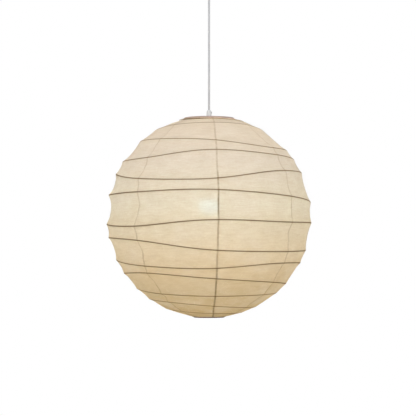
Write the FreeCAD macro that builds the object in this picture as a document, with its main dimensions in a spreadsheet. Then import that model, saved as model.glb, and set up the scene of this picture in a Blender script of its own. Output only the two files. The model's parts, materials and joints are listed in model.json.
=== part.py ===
import FreeCAD, Part
import math
import os
import Sketcher

# Paper globe pendant: a ribbed paper shade that hangs on its cord from a ceiling rose.
# Millimetres, +Z up.  The origin is the middle of the ceiling face of the rose, so that
# everything hangs below zero.  The front of the lamp is -Y and its right-hand side is +X.
# Longitudes on the globe are counted from the front towards the right.

os.makedirs("parts", exist_ok=True)
doc = FreeCAD.newDocument("paper_globe_pendant")

# ---------------------------------------------------------------- driving dimensions
DIMENSIONS = {
    # globe
    "globe_drop": 700.0,            # ceiling to the middle of the globe
    "globe_radius": 300.0,
    "globe_half_height": 296.0,     # of the whole ellipsoid, before its ends are cut off
    "paper_thickness": 0.5,
    "rib_width": 2.3,               # of the bamboo strip, along the paper
    "rib_thickness": 1.6,
    "rib_gap": 0.15,                # glue between the strip and the paper
    "wire_radius": 1.5,             # of both end rings and of the spider's arms
    "top_ring_radius": 71.5,
    "bottom_ring_radius": 43.5,
    "ring_gap": 0.3,                # between an end ring and the paper's edge
    "ring_trim": 10.0,              # height over which the paper is trimmed beside a ring
    # hub that carries the globe
    "hub_radius": 17.0,
    "hub_thickness": 1.5,
    "hub_chamfer": 0.4,
    "arm_start": 9.0,
    # cord and cord grips
    "cord_radius": 3.0,
    "cord_gap": 0.05,               # between a rounded cord end and the cord that goes on
    "grip_radius": 7.3,
    "grip_length": 22.0,
    "grip_taper_length": 5.0,
    "grip_mouth_radius": 4.6,
    "grip_bore_radius": 3.2,
    "grip_socket_depth": 8.0,
    "grip_screw_height": 14.5,
    "grip_screw_radius": 1.5,
    "grip_screw_head_radius": 2.4,
    "grip_screw_head_height": 1.3,
    "grip_screw_slot_width": 0.7,
    "grip_screw_slot_depth": 0.5,
    "nipple_radius": 5.0,
    "nipple_bore_radius": 3.3,
    "nipple_chamfer": 0.5,
    "nipple_hole_gap": 0.2,         # round the nipple, in the sheet that it passes
    "nipple_overrun": 6.0,          # past that sheet
    "nut_flats": 14.0,
    "nut_height": 4.0,
    # ceiling rose
    "rose_radius": 50.0,
    "rose_depth": 30.0,
    "rose_wall": 2.0,
    "rose_rim_gap": 0.5,
    "rose_rounding": 6.0,
    "strap_length": 92.0,
    "strap_width": 18.0,
    "strap_thickness": 2.0,
    "strap_tab_drop": 13.0,
    "strap_hole_spacing": 60.0,
    "strap_hole_radius": 2.25,
    "rose_screw_drop": 8.0,
    "rose_screw_radius": 2.0,
    "rose_screw_length": 9.0,
    "rose_screw_head_radius": 3.6,
    "rose_screw_head_height": 2.2,
    "rose_screw_slot_width": 1.0,
    "rose_screw_slot_depth": 0.8,
    "rose_screw_hole_gap": 0.1,
    "terminal_length": 34.0,
    "terminal_width": 16.0,
    "terminal_height": 11.0,
    "terminal_pitch": 10.0,
    "terminal_screw_radius": 1.8,
    "terminal_screw_length": 4.0,
    "terminal_well_depth": 5.0,
    "terminal_entry_radius": 1.6,
    "terminal_entry_depth": 6.0,
    "terminal_entry_height": 5.0,   # above the block's underside
    "cord_tail_top": 17.0,          # where the sheath ends, below the ceiling
    "conductor_radius": 1.1,
    "conductor_spread": 1.5,
    "conductor_seat_depth": 3.0,    # into the terminal block
    # lamp holder, E27
    "holder_top": 550.0,            # below the ceiling
    "holder_neck_radius": 7.0,
    "holder_neck_length": 6.0,
    "holder_radius": 20.0,
    "holder_wall": 2.2,
    "holder_cap_height": 25.0,
    "holder_body_height": 40.0,
    "holder_insert_radius": 17.0,
    "holder_insert_height": 8.0,
    "holder_insert_gap": 1.0,       # under the insert, in the body
    "holder_cord_gap": 0.2,
    "holder_edge": 1.0,             # chamfer on the neck and at the mouth
    "holder_thread_depth": 0.8,
    "holder_thread_run": 4.0,       # thread above the lock ring
    "holder_shell_gap": 1.2,        # between the body's bore and the brass shell
    "contact_shell_radius": 13.8,   # outside of the brass shell
    "contact_shell_wall": 0.5,
    "contact_shell_height": 24.0,
    "contact_shell_flange": 0.8,
    "tongue_width": 7.0,
    "tongue_thickness": 0.5,
    "tongue_reach": 7.0,            # from the middle to the tongue's fold
    "tongue_length": 16.0,
    "tongue_foot_length": 5.0,
    "tongue_gap": 0.1,              # above the bulb's tip
    "lock_ring_radius": 29.0,
    "lock_ring_height": 8.0,
    "lock_ring_drop": 25.0,         # from the top of the holder's body
    "lock_ring_clearance": 0.08,
    "lock_ring_wall": 2.4,
    "lock_ring_flange": 1.6,
    # bulb, E27 with a 60 mm globe
    "bulb_drop": 668.0,             # ceiling to the middle of the bulb's globe
    "bulb_radius": 30.0,
    "bulb_wall": 1.5,
    "bulb_joint_height": 14.0,      # globe's edge, above its middle
    "bulb_neck_radius": 14.2,
    "bulb_neck_height": 54.0,       # bottom of the screw shell, above the globe's middle
    "screw_shell_radius": 13.2,
    "screw_shell_depth": 0.9,       # crest to root
    "screw_shell_wall": 0.4,
    "screw_pitch": 3.63,
    "bulb_tip_radius": 4.6,
    "bulb_tip_height": 1.6,
    "bulb_tip_chamfer": 1.2,
    "insulator_height": 3.4,
    "insulator_land": 1.0,          # round the tip
    "led_board_radius": 22.0,
    "led_board_thickness": 1.6,
    "led_board_gap": 0.5,           # above the globe's edge
    "led_size": 3.2,
    "led_height": 0.9,
    "led_ring_radius": 14.0,
    "driver_width": 18.0,
    "driver_height": 26.0,
    "driver_thickness": 1.6,
}
GORE_SEAMS = (-44.0, 5.0, 52.5, 96.0, 140.0, 185.0, 229.0, 273.0)   # longitudes, degrees
LED_COUNT = 9
THREAD_TURNS = 5
THREAD_CREST = (0.35, 0.65)     # where a thread's crest starts and ends, in one pitch
ARM_ANGLES = (90, 210, 330)     # of the spider's arms, from +X
QUARTER = (0, 22.5, 45, 67.5, 90)       # angles of the points on a rounded corner
HOUSING_STEPS = (0, 0.15, 0.3, 0.45, 0.6, 0.8, 1)   # shares of the bulb housing's height
HOUSING_TAPER = 1.7             # exponent of the curve from the globe's edge in to the neck

# The ribbing is one strip wound from the top ring down to the bottom ring.  Each row is
# one turn: its height above the middle of the globe at the left, half left, front, half
# right and right of the lamp.  Behind, a turn runs on from its right to the next left.
RIB_TURNS = (
    (282, 283, 282, 280, 277),
    (251, 261, 265, 263, 250),
    (219, 217, 211, 194, 190),
    (159, 162, 181, 173, 163),
    (125, 102, 98, 124, 126),
    (63, 64, 68, 55, 39),
    (-22, -32, -16, -20, -20),
    (-61, -71, -98, -103, -99),
    (-126, -143, -150, -136, -135),
    (-165, -163, -177, -188, -196),
    (-209, -222, -228, -226, -222),
    (-239, -246, -256, -262, -262),
    (-267, -274, -279, -280, -279),
)
RIB_START_HEIGHT = 284.0        # at the back, under the top ring
RIB_END_HEIGHT = -286.0         # at the back, over the bottom ring
RIB_STEPS_PER_TURN = 8          # heights per turn, 45 degrees apart
RIB_SECTIONS_PER_TURN = 72

sheet = doc.addObject("Spreadsheet::Sheet", "dims")
for row, (alias, number) in enumerate(DIMENSIONS.items(), start=1):
    sheet.set("A%d" % row, alias)
    sheet.set("B%d" % row, str(number))
    sheet.setAlias("B%d" % row, alias)
for index, longitude in enumerate(GORE_SEAMS, start=1):
    row = len(DIMENSIONS) + index
    sheet.set("A%d" % row, "seam_angle_%d" % index)
    sheet.set("B%d" % row, str(longitude))
    sheet.setAlias("B%d" % row, "seam_angle_%d" % index)
doc.recompute()


class Size:
    """A length with its value and the spreadsheet expression that drives it."""

    def __init__(self, value, text):
        self.value = float(value)
        self.text = text

    def _combine(self, other, sign, value):
        return Size(value, "(%s %s %s)" % (self.text, sign, as_size(other).text))

    def __add__(self, other):
        return self._combine(other, "+", self.value + as_size(other).value)

    def __sub__(self, other):
        return self._combine(other, "-", self.value - as_size(other).value)

    def __mul__(self, factor):
        return self._combine(factor, "*", self.value * as_size(factor).value)

    def __truediv__(self, factor):
        return self._combine(factor, "/", self.value / as_size(factor).value)

    def __neg__(self):
        return Size(-self.value, "(0 - %s)" % self.text)


def as_size(length):
    """Turns a plain number into a Size."""
    if isinstance(length, Size):
        return length
    return Size(length, "%.6g" % length if length >= 0 else "(0 - %.6g)" % -length)


def size(alias):
    """The Size behind one cell of the spreadsheet."""
    return Size(sheet.get(alias), "dims." + alias)


# ---------------------------------------------------------------- building helpers
sub_parts = []


def bind(obj, prop, length):
    """Ties one property of an object to the spreadsheet."""
    obj.setExpression(prop, as_size(length).text)


def move(obj, x=0, y=0, z=0):
    """Ties an object's position to the spreadsheet."""
    bind(obj, "Placement.Base.x", x)
    bind(obj, "Placement.Base.y", y)
    bind(obj, "Placement.Base.z", z)
    return obj


def turn(obj, axis, degrees):
    """Turns an object about an axis through its own corner or centre."""
    obj.Placement.Rotation = FreeCAD.Rotation(FreeCAD.Vector(*axis), degrees)
    return obj


def cylinder(name, radius, height, x=0, y=0, z=0):
    obj = doc.addObject("Part::Cylinder", name)
    bind(obj, "Radius", radius)
    bind(obj, "Height", height)
    return move(obj, x, y, z)


def box(name, length, width, height, x=0, y=0, z=0):
    """A box centred on x and y that stands on z."""
    obj = doc.addObject("Part::Box", name)
    bind(obj, "Length", length)
    bind(obj, "Width", width)
    bind(obj, "Height", height)
    return move(obj, as_size(x) - as_size(length) / 2, as_size(y) - as_size(width) / 2, z)


def torus(name, radius, wire, z):
    obj = doc.addObject("Part::Torus", name)
    bind(obj, "Radius1", radius)
    bind(obj, "Radius2", wire)
    return move(obj, 0, 0, z)


def ellipsoid(name, radius, half_height, z):
    obj = doc.addObject("Part::Ellipsoid", name)
    bind(obj, "Radius1", half_height)
    bind(obj, "Radius2", radius)
    return move(obj, 0, 0, z)


def cut(name, base, *tools):
    """Cuts every tool out of base, one after the other."""
    for step, tool in enumerate(tools):
        obj = doc.addObject("Part::Cut", name if step == len(tools) - 1 else "%s_cut_%d" % (name, step))
        obj.Base = base
        obj.Tool = tool
        base = obj
    return base


def fuse(name, *pieces):
    obj = doc.addObject("Part::MultiFuse", name)
    obj.Shapes = list(pieces)
    return obj


def group(name, *pieces):
    """Puts identical loose pieces together in one node."""
    obj = doc.addObject("Part::Compound", name)
    obj.Links = list(pieces)
    return obj


def node(obj, label):
    """Marks an object as a finished sub-part under the name of its file."""
    obj.Label = label
    sub_parts.append(obj)
    return obj


def origin_plane(body, role):
    for feature in body.Origin.OriginFeatures:
        if feature.Role == role:
            return feature
    raise ValueError(role)


def turned_body(label, outline):
    """A PartDesign body turned about Z from a closed outline of (radius, height) points."""
    body = doc.addObject("PartDesign::Body", label)
    sketch = body.newObject("Sketcher::SketchObject", label + "_outline")
    sketch.AttachmentSupport = [(origin_plane(body, "XZ_Plane"), "")]
    sketch.MapMode = "FlatFace"
    points = [(as_size(radius), as_size(height)) for radius, height in outline]
    count = len(points)
    for index in range(count):
        here = FreeCAD.Vector(points[index][0].value, points[index][1].value, 0)
        there = points[(index + 1) % count]
        sketch.addGeometry(Part.LineSegment(here, FreeCAD.Vector(there[0].value, there[1].value, 0)))
    for index in range(count):
        sketch.addConstraint(Sketcher.Constraint("Coincident", index, 2, (index + 1) % count, 1))
    for index, (radius, height) in enumerate(points):
        if radius.value == 0:
            sketch.addConstraint(Sketcher.Constraint("PointOnObject", index, 1, -2))
        else:
            across = sketch.addConstraint(Sketcher.Constraint("DistanceX", -1, 1, index, 1, radius.value))
            sketch.setExpression("Constraints[%d]" % across, radius.text)
        upward = sketch.addConstraint(Sketcher.Constraint("DistanceY", -1, 1, index, 1, height.value))
        sketch.setExpression("Constraints[%d]" % upward, height.text)
    revolution = body.newObject("PartDesign::Revolution", label + "_turning")
    revolution.Profile = sketch
    revolution.ReferenceAxis = (sketch, ["V_Axis"])
    revolution.Angle = 360.0
    body.Tip = revolution
    return body


def arc(middle_radius, middle_height, bend, angles):
    """Outline points at a distance from a middle, at angles from straight out up towards +Z."""
    return [(middle_radius + bend * round(math.cos(math.radians(angle)), 9),
             middle_height + bend * round(math.sin(math.radians(angle)), 9)) for angle in angles]


def hex_nut(label, z):
    """A thin hexagon nut that stands on z, with the cord tube's thread hole."""
    prism = doc.addObject("Part::Prism", label + "_hexagon")
    prism.Polygon = 6
    bind(prism, "Circumradius", size("nut_flats") / (2 * math.cos(math.pi / 6)))
    bind(prism, "Height", size("nut_height"))
    move(prism, 0, 0, z)
    hole = cylinder(label + "_hole", size("nipple_radius"), size("nut_height"), z=z)
    return node(cut(label + "_nut", prism, hole), label)


# ---------------------------------------------------------------- heights, all below zero
ceiling = as_size(0)
rose_floor = -size("rose_depth")
upper_pivot = rose_floor - size("grip_length")
globe_middle = -size("globe_drop")
bulb_middle = -size("bulb_drop")


def edge_height(ring_radius):
    """Height above the globe's middle where the paper ends beside a ring."""
    edge = ring_radius.value + size("wire_radius").value + size("ring_gap").value
    ratio = edge / size("globe_radius").value
    return size("globe_half_height").value * math.sqrt(1 - ratio * ratio)


top_edge = edge_height(size("top_ring_radius"))
bottom_edge = -edge_height(size("bottom_ring_radius"))
top_ring_height = globe_middle + top_edge
bottom_ring_height = globe_middle + bottom_edge
hub_underside = top_ring_height + size("wire_radius")
hub_face = hub_underside + size("hub_thickness")
lower_pivot = hub_face + size("grip_length")
holder_top = -size("holder_top")
holder_joint = holder_top - size("holder_cap_height")
holder_mouth = holder_joint - size("holder_body_height")


# ---------------------------------------------------------------- cord grips
def cord_grip(label, seat, mouth_up):
    """A cord grip: nipple socket at its seat, tapered mouth for the cord at its far end."""
    sign = 1 if mouth_up else -1
    length = size("grip_length") * sign
    taper = (size("grip_length") - size("grip_taper_length")) * sign
    socket = size("grip_socket_depth") * sign
    bore = size("grip_bore_radius")
    body = turned_body(label + "_turned", (
        (size("nipple_radius"), seat),
        (size("grip_radius"), seat),
        (size("grip_radius"), seat + taper),
        (size("grip_mouth_radius"), seat + length),
        (bore, seat + length),
        (bore, seat + socket),
        (size("nipple_radius"), seat + socket),
    ))
    screw_height = seat + size("grip_screw_height") * sign
    hole = cylinder(label + "_screw_hole", size("grip_screw_radius"), size("grip_radius") * 2,
                    z=screw_height)
    turn(hole, (0, 1, 0), 90)
    node(cut(label + "_drilled", body, hole), label)
    return screw_height


def grip_screw(label, screw_height):
    """The small screw in the right-hand side of a grip that clamps the cord."""
    reach = size("grip_radius") - size("grip_bore_radius")
    shank = cylinder(label + "_shank", size("grip_screw_radius"), reach,
                     x=size("grip_bore_radius"), z=screw_height)
    turn(shank, (0, 1, 0), 90)
    head = cylinder(label + "_head", size("grip_screw_head_radius"), size("grip_screw_head_height"),
                    x=size("grip_radius"), z=screw_height)
    turn(head, (0, 1, 0), 90)
    slot_width = size("grip_screw_slot_width")
    slot = box(label + "_slot", size("grip_screw_slot_depth") * 2, size("grip_screw_head_radius") * 2,
               slot_width, x=size("grip_radius") + size("grip_screw_head_height"),
               z=screw_height - slot_width / 2)
    node(cut(label + "_slotted", fuse(label + "_solid", shank, head), slot), label)


def nipple(label, low, high):
    """The threaded tube that joins a grip to the sheet metal it is fastened to."""
    radius = size("nipple_radius")
    chamfer = size("nipple_chamfer")
    node(turned_body(label, (
        (size("nipple_bore_radius"), low),
        (radius - chamfer, low),
        (radius, low + chamfer),
        (radius, high - chamfer),
        (radius - chamfer, high),
        (size("nipple_bore_radius"), high),
    )), label)


# ---------------------------------------------------------------- ceiling rose
def mounting_strap():
    """The strap screwed to the ceiling, with a tab bent down at each end for the rose."""
    length = size("strap_length")
    thickness = size("strap_thickness")
    plate = box("strap_plate", length, size("strap_width"), thickness, z=ceiling - thickness)
    pieces = [plate]
    drills = []
    for side in (-1, 1):
        tab_x = (length / 2 - thickness / 2) * side
        pieces.append(box("strap_tab_%d" % side, thickness, size("strap_width"), size("strap_tab_drop"),
                          x=tab_x, z=ceiling - size("strap_tab_drop")))
        drills.append(cylinder("strap_hole_%d" % side, size("strap_hole_radius"), thickness,
                               x=size("strap_hole_spacing") * side / 2, z=ceiling - thickness))
        tapped = cylinder("strap_thread_%d" % side, size("rose_screw_radius"), thickness,
                          x=length / 2 - thickness if side > 0 else -length / 2,
                          z=ceiling - size("rose_screw_drop"))
        drills.append(turn(tapped, (0, 1, 0), 90))
    node(cut("strap_drilled", fuse("strap_blank", *pieces), *drills), "mounting_strap")


def rose_cup():
    """The round cover, open to the ceiling, with the grip's hole in the middle of its floor."""
    radius = size("rose_radius")
    wall = size("rose_wall")
    rounding = size("rose_rounding")
    rim = ceiling - size("rose_rim_gap")
    hole_radius = size("nipple_radius") + size("nipple_hole_gap")
    downward = [-angle for angle in QUARTER]
    outside = arc(radius - rounding, rose_floor + rounding, rounding, reversed(downward))
    inside = arc(radius - rounding, rose_floor + rounding, rounding - wall, downward)
    body = turned_body("rose_cup_turned", [(hole_radius, rose_floor)] + outside + [
        (radius, rim),
        (radius - wall, rim),
    ] + inside + [(hole_radius, rose_floor + wall)])
    hole = cylinder("rose_screw_hole", size("rose_screw_radius") + size("rose_screw_hole_gap"), radius * 2,
                    x=-radius, z=ceiling - size("rose_screw_drop"))
    node(cut("rose_cup_drilled", body, turn(hole, (0, 1, 0), 90)), "rose_cup")


def rose_screws():
    """The two screws through the sides of the rose into the strap's tabs."""
    screws = []
    for side in (-1, 1):
        height = ceiling - size("rose_screw_drop")
        reach = size("rose_screw_length")
        inner = size("rose_radius") - reach
        head = size("rose_screw_head_height")
        shank = cylinder("rose_screw_shank_%d" % side, size("rose_screw_radius"), reach,
                         x=inner if side > 0 else -size("rose_radius"), z=height)
        cap = cylinder("rose_screw_head_%d" % side, size("rose_screw_head_radius"), head,
                       x=size("rose_radius") if side > 0 else -size("rose_radius") - head, z=height)
        turn(shank, (0, 1, 0), 90)
        turn(cap, (0, 1, 0), 90)
        slot_width = size("rose_screw_slot_width")
        slot = box("rose_screw_slot_%d" % side, size("rose_screw_slot_depth") * 2,
                   size("rose_screw_head_radius") * 2, slot_width,
                   x=(size("rose_radius") + head) * side, z=height - slot_width / 2)
        screws.append(cut("rose_screw_%d" % side, fuse("rose_screw_solid_%d" % side, shank, cap), slot))
    node(group("rose_screw_pair", *screws), "rose_screws")


def terminal_block():
    """The block under the strap that joins the cord to the supply, with its brass screws."""
    top = ceiling - size("strap_thickness")
    low = top - size("terminal_height")
    pitch = size("terminal_pitch")
    width = size("terminal_width")
    well_depth = size("terminal_well_depth")
    screw_length = size("terminal_screw_length")
    entry_depth = size("terminal_entry_depth")
    blank = box("terminal_blank", size("terminal_length"), width, size("terminal_height"), z=low)
    wells = []
    screws = []
    for index in (-1, 0, 1):
        wells.append(cylinder("terminal_well_%d" % index, size("terminal_screw_radius"), well_depth,
                              x=pitch * index, y=-width / 4, z=low))
        screws.append(cylinder("terminal_screw_%d" % index, size("terminal_screw_radius"), screw_length,
                               x=pitch * index, y=-width / 4, z=low + well_depth - screw_length))
        entry = cylinder("terminal_entry_%d" % index, size("terminal_entry_radius"), entry_depth,
                         x=pitch * index, y=width / 2 - entry_depth, z=low + size("terminal_entry_height"))
        wells.append(turn(entry, (-1, 0, 0), 90))
    for side in (-1, 1):
        wells.append(cylinder("conductor_seat_%d" % side, size("conductor_radius"),
                              size("conductor_seat_depth"), x=size("conductor_spread") * side, z=low))
    node(cut("terminal_drilled", blank, *wells), "terminal_block")
    node(group("terminal_screw_set", *screws), "terminal_screws")
    return low


def cord_tail(terminal_low):
    """The end of the cord inside the rose, and its two conductors into the terminal block."""
    bottom = upper_pivot + size("cord_radius") + size("cord_gap")
    top = -size("cord_tail_top")
    sheath = cylinder("cord_tail_sheath", size("cord_radius"), top - bottom, z=bottom)
    node(sheath, "cord_tail")
    wires = []
    for side in (-1, 1):
        wires.append(cylinder("conductor_%d" % side, size("conductor_radius"),
                              terminal_low + size("conductor_seat_depth") - top,
                              x=size("conductor_spread") * side, z=top))
    node(group("conductor_pair", *wires), "cord_conductors")


# ---------------------------------------------------------------- cord
def hanging_cord():
    """The free cord between the two grips; its ends are round, so that it can swing there."""
    length = lower_pivot * -1 + upper_pivot
    run = cylinder("cord_run", size("cord_radius"), length, z=lower_pivot)
    ends = []
    for label, height in (("lower", lower_pivot), ("upper", upper_pivot)):
        ball = doc.addObject("Part::Sphere", "cord_end_" + label)
        bind(ball, "Radius", size("cord_radius"))
        ends.append(move(ball, 0, 0, height))
    node(fuse("cord_solid", run, *ends), "cord")


def inner_cord():
    """The cord from the grip at the top of the globe down into the lamp holder."""
    top = lower_pivot - size("cord_radius") - size("cord_gap")
    bottom = holder_top - size("holder_neck_length")
    node(cylinder("inner_cord_run", size("cord_radius"), top - bottom, z=bottom), "inner_cord")


# ---------------------------------------------------------------- frame of the shade
def spider():
    """The welded hub, arms and top ring that carry the globe."""
    hole_radius = size("nipple_radius") + size("nipple_hole_gap")
    hub = turned_body("spider_hub", (
        (hole_radius, hub_underside),
        (size("hub_radius"), hub_underside),
        (size("hub_radius"), hub_face - size("hub_chamfer")),
        (size("hub_radius") - size("hub_chamfer"), hub_face),
        (hole_radius, hub_face),
    ))
    node(hub, "spider_hub")
    arms = []
    for index, angle in enumerate(ARM_ANGLES):
        arm = cylinder("arm_%d" % index, size("wire_radius"), size("top_ring_radius") - size("arm_start"),
                       z=top_ring_height)
        lying = FreeCAD.Rotation(FreeCAD.Vector(0, 1, 0), 90)
        arm.Placement.Rotation = FreeCAD.Rotation(FreeCAD.Vector(0, 0, 1), angle) * lying
        bind(arm, "Placement.Base.x", size("arm_start") * round(math.cos(math.radians(angle)), 9))
        bind(arm, "Placement.Base.y", size("arm_start") * round(math.sin(math.radians(angle)), 9))
        weld = torus("arm_weld_%d" % index, size("top_ring_radius"), size("wire_radius"), top_ring_height)
        arms.append(cut("arm_fitted_%d" % index, arm, weld))
    node(group("spider_arm_set", *arms), "spider_arms")
    node(torus("top_ring_wire", size("top_ring_radius"), size("wire_radius"), top_ring_height), "top_ring")


def bottom_ring():
    node(torus("bottom_ring_wire", size("bottom_ring_radius"), size("wire_radius"), bottom_ring_height),
         "bottom_ring")


# ---------------------------------------------------------------- paper
def ring_clearance(name, ring_radius, ring_height):
    """A short cylinder that trims the paper to a gap all round an end ring."""
    radius = size(ring_radius) + size("wire_radius") + size("ring_gap")
    return cylinder(name, radius, size("ring_trim"), z=ring_height - size("ring_trim") / 2)


def paper_gores():
    """The paper skin in gores, each cut to length at the two end rings."""
    thickness = size("paper_thickness")
    half_height = size("globe_half_height")
    top_trim = ring_clearance("top_ring_clearance", "top_ring_radius", top_ring_height)
    bottom_trim = ring_clearance("bottom_ring_clearance", "bottom_ring_radius", bottom_ring_height)
    for index in range(len(GORE_SEAMS)):
        name = "paper_gore_%d" % (index + 1)
        start = size("seam_angle_%d" % (index + 1))
        last = index + 1 == len(GORE_SEAMS)
        end = size("seam_angle_1") + 360 if last else size("seam_angle_%d" % (index + 2))
        outer = ellipsoid(name + "_outer", size("globe_radius"), half_height, globe_middle)
        bind(outer, "Angle1", math.degrees(math.asin(bottom_edge / half_height.value)))
        bind(outer, "Angle2", math.degrees(math.asin(top_edge / half_height.value)))
        bind(outer, "Angle3", end - start)
        inner = ellipsoid(name + "_inner", size("globe_radius") - thickness, half_height - thickness,
                          globe_middle)
        gore = cut(name + "_shell", outer, inner, top_trim, bottom_trim)
        gore.Placement.Rotation = FreeCAD.Rotation(FreeCAD.Vector(0, 0, 1), start.value - 90)
        node(gore, name)


# ---------------------------------------------------------------- ribs
def rib_heights():
    """Heights of the whole strip, 45 degrees apart, from the back of the first turn on."""
    heights = [RIB_START_HEIGHT, RIB_START_HEIGHT - 1]
    for index, turn_heights in enumerate(RIB_TURNS):
        heights.extend(turn_heights)
        right = turn_heights[-1]
        if index + 1 < len(RIB_TURNS):
            next_left = RIB_TURNS[index + 1][0]
            sway = 0.2 * (right - next_left) * math.sin(1.9 * index)
            for step in (1, 2, 3):
                along = step / 4.0
                heights.append(right + (next_left - right) * along + sway * math.sin(math.pi * along))
    heights.extend([RIB_TURNS[-1][-1] - 3, RIB_END_HEIGHT])
    return heights


def smooth_height(heights, position):
    """A smooth curve through heights spaced one apart (Catmull-Rom)."""
    last = len(heights) - 1
    index = min(int(position), last - 1)
    along = position - index
    before = heights[max(index - 1, 0)]
    start = heights[index]
    end = heights[index + 1]
    after = heights[min(index + 2, last)]
    return start + 0.5 * along * (end - before + along * (
        2 * before - 5 * start + 4 * end - after + along * (3 * (start - end) + after - before)))


def rib_point(heights, position):
    """The strip's centre line just inside the paper, at a position counted in 45 degree steps."""
    inset = size("paper_thickness").value + size("rib_gap").value + size("rib_thickness").value / 2
    height = smooth_height(heights, position)
    ratio = height / (size("globe_half_height").value - inset)
    radius = (size("globe_radius").value - inset) * math.sqrt(1 - ratio * ratio)
    longitude = 2 * math.pi * position / RIB_STEPS_PER_TURN - math.pi
    return FreeCAD.Vector(radius * math.sin(longitude), -radius * math.cos(longitude),
                          globe_middle.value + height)


def rib_section(heights, position):
    """The strip's oblong section, square to its run and flat to the paper at a position."""
    nudge = 0.01
    centre = rib_point(heights, position)
    along = rib_point(heights, position + nudge) - rib_point(heights, position - nudge)
    across = along.cross(centre - FreeCAD.Vector(0, 0, globe_middle.value)).normalize()
    outward = across.cross(along).normalize()
    across = across * (size("rib_width").value / 2)
    outward = outward * (size("rib_thickness").value / 2)
    corners = [centre - across - outward, centre + across - outward,
               centre + across + outward, centre - across + outward]
    return Part.makePolygon(corners + corners[:1])


def rib_turn(index, heights):
    """One turn of the strip, lofted through its sections from the back round to the back."""
    first = index * RIB_STEPS_PER_TURN
    step = RIB_STEPS_PER_TURN / RIB_SECTIONS_PER_TURN
    sections = [rib_section(heights, first + count * step) for count in range(RIB_SECTIONS_PER_TURN + 1)]
    rib = doc.addObject("Part::Feature", "rib_%02d" % (index + 1))
    rib.Shape = Part.makeLoft(sections, True, True)
    points = [section.CenterOfMass for section in sections]
    length = sum(points[count].distanceToPoint(points[count + 1]) for count in range(len(points) - 1))
    return node(rib, "rib_%02d" % (index + 1)), length


def ribs():
    heights = rib_heights()
    total = 0.0
    for index in range(len(RIB_TURNS)):
        rib, length = rib_turn(index, heights)
        total += length
        volume = size("rib_width").value * size("rib_thickness").value * length
        print("%s length %.0f mm, volume ratio %.4f" % (rib.Label, length, rib.Shape.Volume / volume))
    print("rib strip length %.2f m" % (total / 1000))


# ---------------------------------------------------------------- lamp holder
def holder_casing():
    """The holder's domed cap and its body, threaded outside for the lock ring."""
    radius = size("holder_radius")
    wall = size("holder_wall")
    neck = size("holder_neck_radius")
    neck_end = holder_top - size("holder_neck_length")
    bore = size("cord_radius") + size("holder_cord_gap")
    edge = size("holder_edge")
    dome = radius - neck
    node(turned_body("holder_cap", [
        (bore, neck_end - wall),
        (bore, holder_top),
        (neck - edge, holder_top),
        (neck, holder_top - edge),
    ] + arc(neck, neck_end - dome, dome, reversed(QUARTER)) + [
        (radius, holder_joint),
        (radius - wall, holder_joint),
    ] + arc(neck, neck_end - dome, dome - wall, QUARTER)), "holder_cap")
    thread = size("holder_thread_depth")
    thread_top = holder_joint - size("lock_ring_drop") + size("holder_thread_run")
    shell_bore = size("contact_shell_radius") + size("holder_shell_gap")
    seat = holder_joint - size("holder_insert_height") - size("holder_insert_gap")
    node(turned_body("holder_body", (
        (radius, holder_joint),
        (radius, thread_top),
        (radius - thread, thread_top - thread),
        (radius - thread, holder_mouth + edge),
        (radius - thread - edge, holder_mouth),
        (shell_bore, holder_mouth),
        (shell_bore, seat),
        (radius - wall, seat),
        (radius - wall, holder_joint),
    )), "holder_body")


def holder_contacts():
    """The ceramic insert, with the brass shell and the brass tongue under it."""
    insert_low = holder_joint - size("holder_insert_height")
    node(cylinder("holder_insert_disc", size("holder_insert_radius"), size("holder_insert_height"),
                  z=insert_low), "holder_insert")
    shell_low = insert_low - size("contact_shell_height")
    shell = size("contact_shell_radius")
    shell_wall = size("contact_shell_wall")
    flange = shell + size("contact_shell_flange")
    node(turned_body("holder_contact_shell", (
        (shell - shell_wall, shell_low),
        (flange, shell_low),
        (flange, shell_low + shell_wall),
        (shell, shell_low + shell_wall),
        (shell, insert_low),
        (shell - shell_wall, insert_low),
    )), "holder_contact_shell")
    width = size("tongue_width")
    thickness = size("tongue_thickness")
    leaf_low = bulb_tip_top() + size("tongue_gap")
    fold = -size("tongue_reach")
    length = size("tongue_length")
    foot = box("tongue_foot", size("tongue_foot_length"), width, thickness, x=fold,
               z=insert_low - thickness)
    leaf = box("tongue_leaf", length, width, thickness, x=fold + length / 2, z=leaf_low)
    riser = box("tongue_riser", thickness, width, insert_low - leaf_low, x=fold + thickness / 2,
                z=leaf_low)
    node(fuse("tongue_folded", foot, leaf, riser), "holder_tongue")


def lock_ring():
    """The flanged ring that screws up the holder's body."""
    ring_top = holder_joint - size("lock_ring_drop")
    inner = size("holder_radius") - size("holder_thread_depth") + size("lock_ring_clearance")
    outer = size("lock_ring_radius")
    wall = size("lock_ring_wall")
    flange = size("lock_ring_flange")
    ring_low = ring_top - size("lock_ring_height")
    node(turned_body("holder_lock_ring", (
        (inner, ring_top),
        (outer, ring_top),
        (outer, ring_top - flange),
        (inner + wall * 1.25, ring_top - flange * 1.5),
        (inner + wall, ring_low),
        (inner, ring_low),
    )), "holder_lock_ring")


# ---------------------------------------------------------------- bulb
bulb_joint = bulb_middle + size("bulb_joint_height")
screw_shell_low = bulb_middle + size("bulb_neck_height")
screw_shell_top = screw_shell_low + size("screw_pitch") * THREAD_TURNS


def bulb_tip_top():
    """Top of the bulb's centre contact."""
    return screw_shell_top + size("insulator_height") + size("bulb_tip_height")


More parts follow.
